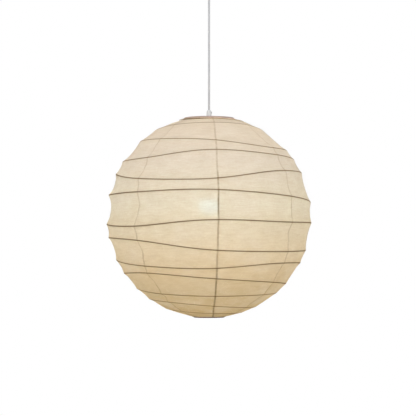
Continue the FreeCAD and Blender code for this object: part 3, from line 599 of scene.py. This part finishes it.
def make_strip(index, run_before, material):
    """One turn of split bamboo, with knots along it; returns the length of the strip so far."""
    turned = np.linspace(TURN * index, TURN * (index + 1), round(TURN / STRIP_STEP) + 1)
    longitude = turned - math.pi
    latitude = strip_latitude(turned)
    centres = surface(latitude, longitude, RIB_INSET)
    outward = surface(latitude, longitude, 0.0) - centres
    outward /= np.linalg.norm(outward, axis=1)[:, None]
    along = np.gradient(centres, axis=0)
    across = np.cross(along, outward)
    across /= np.linalg.norm(across, axis=1)[:, None]
    run = run_before + np.concatenate([[0], np.cumsum(np.linalg.norm(np.diff(centres, axis=0), axis=1))])
    to_knot = np.abs((run / KNOT_SPACING + 0.5) % 1 - 0.5) * KNOT_SPACING
    swell = 1 + KNOT_SWELL * np.exp(-(to_knot / KNOT_LENGTH) ** 2)
    swell *= 1 + 0.10 * noise_at(np.stack([run * 14, 0 * run, 0 * run], axis=-1))
    angles = np.arange(STRIP_CORNERS) * TURN / STRIP_CORNERS
    wide = np.sign(np.cos(angles)) * np.abs(np.cos(angles)) ** SQUARENESS * RIB_WIDTH / 2
    thick = np.sign(np.sin(angles)) * np.abs(np.sin(angles)) ** SQUARENESS * RIB_THICKNESS / 2
    points = centres[:, None] + across[:, None] * (wide[None, :, None] * swell[:, None, None])
    points = points + outward[:, None] * (thick[None, :, None] * swell[:, None, None] ** 0.5)
    strip = grid_mesh("strip_%02d" % (index + 1), points, closed_columns=True, caps=True)
    around = np.tile(angles / TURN * STRIP_ROUND, (len(run), 1))
    set_flat(strip.data, np.stack([np.tile(run[:, None], (1, STRIP_CORNERS)), around], axis=-1))
    dress(strip, material)
    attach(strip, "globe")
    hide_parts(RIBS[index])
    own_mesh(strip)
    return float(run[-1])


# ---------------------------------------------------------------- cord
CORD_TUCK = 0.003                       # length held inside each grip's mouth
CORD_POINTS = (0.0, 0.3, 0.65, 1.0)     # shares of the way up


def make_cord(material):
    """The free cord, pulled dead straight between its two grips."""
    low = LOWER_PIVOT - CORD_TUCK
    high = UPPER_PIVOT + CORD_TUCK
    curve = bpy.data.curves.new("hanging_cord", "CURVE")
    curve.dimensions = "3D"
    curve.bevel_depth = CORD_DIAMETER / 2
    curve.bevel_resolution = 8
    curve.use_fill_caps = True
    spline = curve.splines.new("NURBS")
    spline.points.add(len(CORD_POINTS) - 1)
    for point, share in zip(spline.points, CORD_POINTS):
        point.co = (0.0, 0.0, low + (high - low) * share, 1.0)
    spline.order_u = 3
    spline.use_endpoint_u = True
    cord = link("cord_sheath", curve)
    dress(cord, material)
    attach(cord, "hanging_cord")
    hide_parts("cord")


# ---------------------------------------------------------------- materials
def plain_shader(paint, colour, roughness, normal=None, **more):
    """A Principled shader from a colour or a colour socket, with a bump."""
    sockets = {"Roughness": roughness, **more}
    sockets["Base Color"] = colour if isinstance(colour, bpy.types.NodeSocket) else (*colour, 1.0)
    if normal is not None:
        sockets["Normal"] = normal
    return paint.node("BsdfPrincipled", sockets).outputs[0]


# Colour of the light through the paper, by its share of the globe's height: painted light and shade,
# brightest just above the middle where the bulb hangs, darker and browner to the bottom.
PAINTED_GLOW_BY_HEIGHT = (
    (0.00, (0.46, 0.28, 0.04)),
    (0.13, (0.65, 0.50, 0.28)),
    (0.22, (0.83, 0.65, 0.39)),
    (0.32, (0.94, 0.80, 0.58)),
    (0.55, (0.98, 0.95, 0.81)),
    (0.77, (0.89, 0.83, 0.75)),
    (1.00, (0.81, 0.69, 0.52)),
)


SEAM_TINT = (0.36, 0.24, 0.08)          # of the light through a lap
STAIN_TINT = (0.80, 0.64, 0.36)         # of the light beside the strip
STRIP_SHADOW_TINT = (0.17, 0.07, 0.006)        # of the light on the strip: its painted shadow, with the glue stain
TOP_BAND_LIGHT_TINT = (0.98, 0.80, 0.74)        # painted light: the band under the top ring, lighter and pinker in the light through the paper
SKIN_SHADED_LOW = (0.72, 0.60, 0.36)           # the paper's colour at the bottom, darker and yellower with painted shade
SKIN_LIT_HIGH = (0.84, 0.78, 0.73)          # and at the top, paler and pinker with painted light


class PaperGrain:
    """The noises and stored values that both sides of the paper share."""

    def __init__(self, paint):
        flat = paint.flat()
        wander = paint.node("TexNoise", {"Vector": flat, "Scale": 26.0}).outputs["Color"]
        warped = paint.blend(0.012, flat, wander, "ADD")
        self.clouds = paint.noise(paint.stretched(flat, (1.0, 1.9, 1.0)), 24.0, 4.0, 0.55, 0.4)
        self.patches = paint.noise(paint.stretched(flat, (0.8, 1.0, 1.0)), 11.0, 3.0, 0.55, 0.3)
        self.mottle = paint.noise(flat, 150.0, 3.0, 0.6)
        self.streaks = paint.noise(paint.stretched(warped, (22.0, 300.0, 1.0)), 1.0, 3.0, 0.6, 0.6)
        web = paint.cell_edges(paint.stretched(warped, (38.0, 95.0, 1.0)), 1.0)
        self.fibres = paint.levels(web, 0.0, 0.030, 1.0, 0.0)
        self.flecks = paint.levels(paint.noise(flat, 620.0, 1.0), 0.70, 0.80, 0.0, 1.0)
        height = paint.axis(paint.place(), "Z")
        self.upward = paint.levels(height, MIDDLE_Z - HALF_HEIGHT, MIDDLE_Z + HALF_HEIGHT, 0.0, 1.0)
        brushed = paint.noise(paint.stretched(flat, (40.0, 55.0, 1.0)), 1.0, 3.0)
        self.lap = paint.part_of(paint.attribute("lap"), paint.levels(brushed, 0.38, 0.62, 0.50, 1.0))
        # the strip's glue stain and painted shadow, the painted shade in the fold under the top ring and on
        # the hems' wraps
        self.strip = paint.attribute("strip")
        self.stain = paint.maths("POWER", self.strip, 0.35)
        self.collar = paint.attribute("collar")
        self.top_collar = paint.part_of(self.collar, paint.levels(self.upward, 0.5, 0.9, 0.0, 1.0))


def paper_glow(paint, grain):
    """Colour of the light that comes through the paper."""
    # painted light and shade by height, from the ramp above
    glow = paint.ramp(grain.upward, PAINTED_GLOW_BY_HEIGHT)
    shaded = paint.levels(grain.clouds, 0.32, 0.68, 0.30, 0.0)
    glow = paint.blend(shaded, glow, (0.70, 0.66, 0.58), "MULTIPLY")
    glow = paint.blend(paint.levels(grain.patches, 0.48, 0.72, 0.0, 0.32), glow, (0.97, 0.92, 0.88))
    glow = paint.blend(paint.levels(grain.mottle, 0.35, 0.65, 0.18, 0.0), glow, (0.62, 0.45, 0.26))
    glow = paint.blend(paint.levels(grain.streaks, 0.42, 0.70, 0.0, 0.24), glow, (0.66, 0.47, 0.28))
    glow = paint.blend(paint.part_of(grain.fibres, 0.22), glow, (1.0, 0.95, 0.80))
    glow = paint.blend(paint.part_of(grain.flecks, 0.35), glow, (0.46, 0.30, 0.16))
    glow = paint.blend(paint.part_of(grain.collar, 0.30), glow, (0.62, 0.42, 0.34))
    # painted light: the band under the top ring lighter and pinker
    glow = paint.blend(paint.part_of(grain.top_collar, 0.60), glow, TOP_BAND_LIGHT_TINT)
    glow = paint.blend(paint.part_of(grain.lap, 0.90), glow, SEAM_TINT)
    glow = paint.blend(paint.part_of(grain.stain, 0.34), glow, STAIN_TINT)
    # painted shadow of the strip, with its glue stain
    return paint.blend(paint.part_of(grain.strip, 0.94), glow, STRIP_SHADOW_TINT)


def paper_skin(paint, grain):
    """Colour of the paper in the light that falls on it."""
    # painted light and shade: the paper paler towards the top, darker towards the bottom
    skin = paint.blend(grain.upward, SKIN_SHADED_LOW, SKIN_LIT_HIGH)
    skin = paint.blend(paint.levels(grain.clouds, 0.3, 0.7, 0.0, 0.4), skin, (0.88, 0.82, 0.75))
    skin = paint.blend(paint.levels(grain.streaks, 0.45, 0.75, 0.0, 0.22), skin, (0.58, 0.46, 0.36))
    # painted light: the band under the top ring paler and pinker
    skin = paint.blend(paint.part_of(grain.top_collar, 0.80), skin, (0.96, 0.83, 0.80))
    skin = paint.blend(paint.part_of(grain.lap, 0.60), skin, (0.42, 0.31, 0.16))
    skin = paint.blend(paint.part_of(grain.stain, 0.34), skin, (0.64, 0.50, 0.28))
    # glue-soaked paper over the strip, darkened further as painted shade
    return paint.blend(paint.part_of(grain.strip, 0.94), skin, (0.17, 0.07, 0.008))


def paper_material():
    """Handmade paper: clouds, long fibres and flecks, warm where the lamp shines through it."""
    paint = Paint("washi_paper")
    grain = PaperGrain(paint)
    relief = paint.maths("ADD", paint.part_of(grain.streaks, 0.6), paint.part_of(grain.fibres, 0.5))
    normal = paint.bump(paint.maths("ADD", relief, grain.mottle), 0.00015, 0.8)
    sockets = {"Specular IOR Level": 1.0, "IOR": 1.06, "Transmission Weight": 0.14}
    face = plain_shader(paint, paper_skin(paint, grain), 0.62, normal, **sockets)
    through = paint.node("BsdfTranslucent", {"Color": paper_glow(paint, grain), "Normal": normal}).outputs[0]
    return paint.finish(paint.node("MixShader", {0: 0.56, 1: face, 2: through}).outputs[0])


def bamboo_material():
    """Split bamboo: fine grain along the strip, darker at its knots."""
    paint = Paint("split_bamboo")
    flat = paint.flat()
    grain = paint.noise(paint.stretched(flat, (30.0, 2600.0, 1.0)), 1.0, 3.0, 0.6)
    patches = paint.noise(paint.stretched(flat, (9.0, 60.0, 1.0)), 1.0, 2.0)
    run = paint.axis(flat, "X")
    turn = paint.maths("FRACT", paint.maths("ADD", paint.maths("DIVIDE", run, KNOT_SPACING), 0.5))
    knot = paint.levels(paint.maths("ABSOLUTE", paint.maths("SUBTRACT", turn, 0.5)), 0.004, 0.016, 1.0, 0.0)
    colour = paint.blend(grain, (0.50, 0.36, 0.18), (0.66, 0.50, 0.28))
    colour = paint.blend(paint.levels(patches, 0.35, 0.7, 0.0, 0.5), colour, (0.42, 0.28, 0.13))
    colour = paint.blend(paint.part_of(knot, 0.7), colour, (0.25, 0.15, 0.07))
    return paint.finish(plain_shader(paint, colour, 0.5, paint.bump(grain, 0.0001, 0.7)))


def plastic_material(name, colour, roughness, grain=2200.0, dust=0.06, **more):
    """Moulded plastic with a fine skin, faint dust and uneven gloss."""
    paint = Paint(name)
    place = paint.place()
    skin = paint.noise(place, grain, 2.0)
    handling = paint.noise(place, 70.0, 4.0, 0.6)
    darker = tuple(channel * 0.86 for channel in colour)
    shade = paint.blend(paint.levels(handling, 0.42, 0.72, 0.0, dust * 6), colour, darker)
    gloss = paint.levels(handling, 0.3, 0.7, roughness - 0.05, roughness + 0.08)
    return paint.finish(plain_shader(paint, shade, gloss, paint.bump(skin, 0.00003, 0.5), **more))


def metal_material(name, colour, roughness, streaked=(1.0, 1.0, 1.0), wear=0.5):
    """Plated or drawn metal with fine streaks, dull patches and specks of tarnish."""
    paint = Paint(name)
    place = paint.place()
    streaks = paint.noise(paint.stretched(place, streaked), 900.0, 3.0, 0.6)
    patches = paint.noise(place, 120.0, 4.0, 0.6)
    specks = paint.levels(paint.noise(place, 1500.0, 2.0), 0.66, 0.76, 0.0, 1.0)
    dull = tuple(channel * 0.62 for channel in colour)
    shade = paint.blend(paint.levels(patches, 0.4, 0.7, 0.0, wear), colour, dull)
    shade = paint.blend(paint.part_of(specks, 0.5), shade, (0.16, 0.13, 0.10))
    gloss = paint.levels(patches, 0.3, 0.7, roughness - 0.07, roughness + 0.12)
    return paint.finish(plain_shader(paint, shade, gloss, paint.bump(streaks, 0.00002, 0.5), Metallic=1.0))


def cord_material():
    """Soft white sheath with faint lengthwise drawing marks and grey handling marks."""
    paint = Paint("white_cord_sheath")
    place = paint.place()
    marks = paint.noise(paint.stretched(place, (900.0, 900.0, 12.0)), 1.0, 3.0, 0.6)
    handling = paint.noise(paint.stretched(place, (1.0, 1.0, 0.35)), 60.0, 4.0, 0.6)
    shade = paint.blend(paint.levels(handling, 0.4, 0.7, 0.0, 0.6), (0.60, 0.60, 0.61), (0.52, 0.52, 0.52))
    shade = paint.blend(paint.levels(marks, 0.5, 0.8, 0.0, 0.25), shade, (0.48, 0.48, 0.48))
    return paint.finish(plain_shader(paint, shade, 0.48, paint.bump(marks, 0.00004, 0.6)))


def conductor_material():
    """One brown and one blue insulation, side by side."""
    paint = Paint("conductor_insulation")
    place = paint.place()
    side = paint.levels(paint.axis(place, "X"), -0.0001, 0.0001, 0.0, 1.0)
    marks = paint.noise(paint.stretched(place, (700.0, 700.0, 20.0)), 1.0, 3.0)
    colour = paint.blend(side, (0.20, 0.08, 0.035), (0.03, 0.12, 0.42))
    colour = paint.blend(paint.levels(marks, 0.4, 0.8, 0.0, 0.35), colour, (0.10, 0.08, 0.10))
    return paint.finish(plain_shader(paint, colour, 0.4, paint.bump(marks, 0.00003, 0.5)))


def opal_material():
    """The bulb's opal globe, alight, bluer than a real one to offset the warm paper over it."""
    paint = Paint("opal_glowing")
    coat = paint.noise(paint.place(), 260.0, 3.0, 0.6)
    colour = paint.blend(coat, (0.92, 0.96, 1.0), (0.97, 0.99, 1.0))
    skin = plain_shader(paint, colour, 0.28, paint.bump(coat, 0.00003, 0.4))
    cool = paint.blend(coat, (0.28, 0.68, 1.0), (0.33, 0.72, 1.0))
    light = paint.node("Emission", {"Color": cool, "Strength": BULB_GLOW}).outputs[0]
    return paint.finish(paint.node("AddShader", {0: skin, 1: light}).outputs[0])


def board_material():
    """Pale circuit board with a faint net of tracks under its mask."""
    paint = Paint("circuit_board")
    place = paint.place()
    tracks = paint.levels(paint.cell_edges(place, 260.0), 0.02, 0.05, 1.0, 0.0)
    mask = paint.noise(place, 900.0, 2.0)
    colour = paint.blend(paint.levels(mask, 0.3, 0.7, 0.0, 0.3), (0.80, 0.83, 0.80), (0.68, 0.72, 0.69))
    colour = paint.blend(paint.part_of(tracks, 0.6), colour, (0.50, 0.56, 0.50))
    return paint.finish(plain_shader(paint, colour, 0.42, paint.bump(tracks, 0.00005, 0.5)))


def dress_cad_nodes(cord_sheath):
    """Gives every CAD node that stays in view its material, by the record's slots."""
    ring_wire = metal_material("coated_wire", (0.50, 0.46, 0.41), 0.45, wear=0.3)
    zinc = metal_material("bright_zinc", (0.72, 0.72, 0.70), 0.30)
    brass = metal_material("bare_brass", (0.78, 0.58, 0.26), 0.28)
    cap = metal_material("nickel_cap", (0.76, 0.75, 0.72), 0.24, (1.0, 1.0, 6.0))
    white = plastic_material("white_moulding", (0.75, 0.76, 0.77), 0.34)
    by_slot = {
        "ring_wire": ring_wire,
        "zinc": zinc,
        "brass": brass,
        "cap_metal": cap,
        "white_plastic": white,
        "terminal_plastic": plastic_material("terminal_moulding", (0.74, 0.72, 0.64), 0.5),
        "cord_sheath": cord_sheath,
        "conductor_insulation": conductor_material(),
        "ceramic": plastic_material("holder_ceramic", (0.80, 0.77, 0.70), 0.55, grain=1400.0, dust=0.10),
        "opal_plastic": opal_material(),
        "black_insulator": plastic_material("black_vitrite", (0.02, 0.02, 0.024), 0.16, grain=900.0),
        "board": board_material(),
        "led_yellow": plastic_material("phosphor", (0.90, 0.72, 0.22), 0.4, grain=4000.0),
    }
    for part in frame["record"]["subparts"]:
        node = nodes[part["node"]]
        if part["material_slot"] in by_slot and not node.hide_render:
            dress(node, by_slot[part["material_slot"]])


# ---------------------------------------------------------------- light, floor and sky
BULB_GLOW = 5.2                         # radiance of the opal globe
BULB_WATTS = 31.5
BULB_COLOUR = (1.0, 1.0, 0.90)
BULB_LIGHT_GAP = 0.001                  # between the opal globe and the light round it
SOFTBOXES = (                           # name, place, width and power
    ("key_softbox", (-0.9, -4.2, 1.4), 1.8, 70.0),
    ("fill_softbox", (1.3, -4.2, 0.1), 1.8, 30.0),
)
FLOOR_Z = -2.0
FLOOR_RADIUS = 7.2
FLOOR_FADE = 4.0                        # radius where the floor starts to fade out
FLOOR_CORNERS = 96
SKY_ABOVE = 0.74
SKY_BELOW = 0.12
SKY_COLOUR = (0.97, 0.98, 1.0)


def light_the_bulb():
    """A round light just outside the opal globe, which itself only glows."""
    low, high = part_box("bulb_globe")
    radius = (high.x - low.x) / 2
    data = bpy.data.lights.new("bulb_light", "POINT")
    data.energy = BULB_WATTS
    data.color = BULB_COLOUR
    data.shadow_soft_size = radius + BULB_LIGHT_GAP
    lamp = link("bulb_light", data)
    lamp.location = (0.0, 0.0, low.z + radius)
    lamp.visible_camera = False
    lamp.visible_transmission = False   # the paper shows the opal globe, not this light
    lamp.visible_glossy = False         # or the paper over the bulb goes flat white
    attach(lamp, "bulb")


def make_softbox(name, place, size, watts):
    """A square studio light aimed at the globe's middle."""
    data = bpy.data.lights.new(name, "AREA")
    data.size = size
    data.energy = watts
    softbox = link(name, data)
    softbox.location = place
    aim = Vector((0.0, 0.0, MIDDLE_Z)) - softbox.location
    softbox.rotation_euler = aim.to_track_quat("-Z", "Y").to_euler()
    softbox.visible_camera = False


def make_floor():
    """A pale round floor that fades out at its edge."""
    mesh = bpy.data.meshes.new("studio_floor")
    angles = [TURN * corner / FLOOR_CORNERS for corner in range(FLOOR_CORNERS)]
    ring = [(FLOOR_RADIUS * math.cos(angle), FLOOR_RADIUS * math.sin(angle), FLOOR_Z) for angle in angles]
    mesh.from_pydata(ring, [], [tuple(range(FLOOR_CORNERS))])
    floor = link("studio_floor", mesh)
    paint = Paint("pale_floor")
    place = paint.place()
    mottle = paint.noise(place, 6.0, 4.0, 0.6)
    colour = paint.blend(mottle, (0.80, 0.80, 0.79), (0.84, 0.84, 0.83))
    face = plain_shader(paint, colour, 0.7, paint.bump(paint.noise(place, 300.0, 2.0), 0.0003, 0.3))
    apart = paint.node("VectorMath", {0: place, 1: (0.0, 0.0, FLOOR_Z)}, operation="DISTANCE")
    fade = paint.levels(apart.outputs["Value"], FLOOR_FADE, FLOOR_RADIUS, 0.0, 1.0)
    clear = paint.node("BsdfTransparent").outputs[0]
    dress(floor, paint.finish(paint.node("MixShader", {0: fade, 1: face, 2: clear}).outputs[0]))


def make_world():
    """White behind the lamp, and a softer sky that lights it, brighter above than below."""
    world = bpy.data.worlds.new("studio")
    world.use_nodes = True
    scene.world = world
    tree = world.node_tree
    tree.nodes.clear()
    direction = tree.nodes.new("ShaderNodeTexCoord").outputs["Generated"]
    split = tree.nodes.new("ShaderNodeSeparateXYZ")
    tree.links.new(direction, split.inputs[0])
    level = tree.nodes.new("ShaderNodeMapRange")
    tree.links.new(split.outputs["Z"], level.inputs["Value"])
    level.inputs["From Min"].default_value = -1.0
    level.inputs["From Max"].default_value = 1.0
    level.inputs["To Min"].default_value = SKY_BELOW
    level.inputs["To Max"].default_value = SKY_ABOVE
    lighting = tree.nodes.new("ShaderNodeBackground")
    lighting.inputs["Color"].default_value = (*SKY_COLOUR, 1.0)
    tree.links.new(level.outputs["Result"], lighting.inputs["Strength"])
    behind = tree.nodes.new("ShaderNodeBackground")
    behind.inputs["Color"].default_value = (1.0, 1.0, 1.0, 1.0)
    seen = tree.nodes.new("ShaderNodeLightPath").outputs["Is Camera Ray"]
    mix = tree.nodes.new("ShaderNodeMixShader")
    output = tree.nodes.new("ShaderNodeOutputWorld")
    tree.links.new(seen, mix.inputs[0])
    tree.links.new(lighting.outputs[0], mix.inputs[1])
    tree.links.new(behind.outputs[0], mix.inputs[2])
    tree.links.new(mix.outputs[0], output.inputs["Surface"])


# ---------------------------------------------------------------- the lamp, put together
cord_sheath = cord_material()
paper = paper_material()
bamboo = bamboo_material()

make_cord(cord_sheath)
make_hem("top_hem", "globe", (TOP_RADIUS, TOP_Z, WIRE), TOP_LATITUDE, paper, ARM_LONGITUDES)
make_hem("bottom_hem", "lower_ring", (BOTTOM_RADIUS, BOTTOM_Z, WIRE), BOTTOM_LATITUDE, paper)
strip_run = 0.0
for turn_index in range(len(RIBS)):
    strip_run = make_strip(turn_index, strip_run, bamboo)
for gore_index in range(len(GORES)):
    make_gore(gore_index, paper)
dress_cad_nodes(cord_sheath)

light_the_bulb()
for softbox_name, softbox_place, softbox_width, softbox_watts in SOFTBOXES:
    make_softbox(softbox_name, softbox_place, softbox_width, softbox_watts)
make_floor()
make_world()
scene.view_settings.view_transform = "Standard"
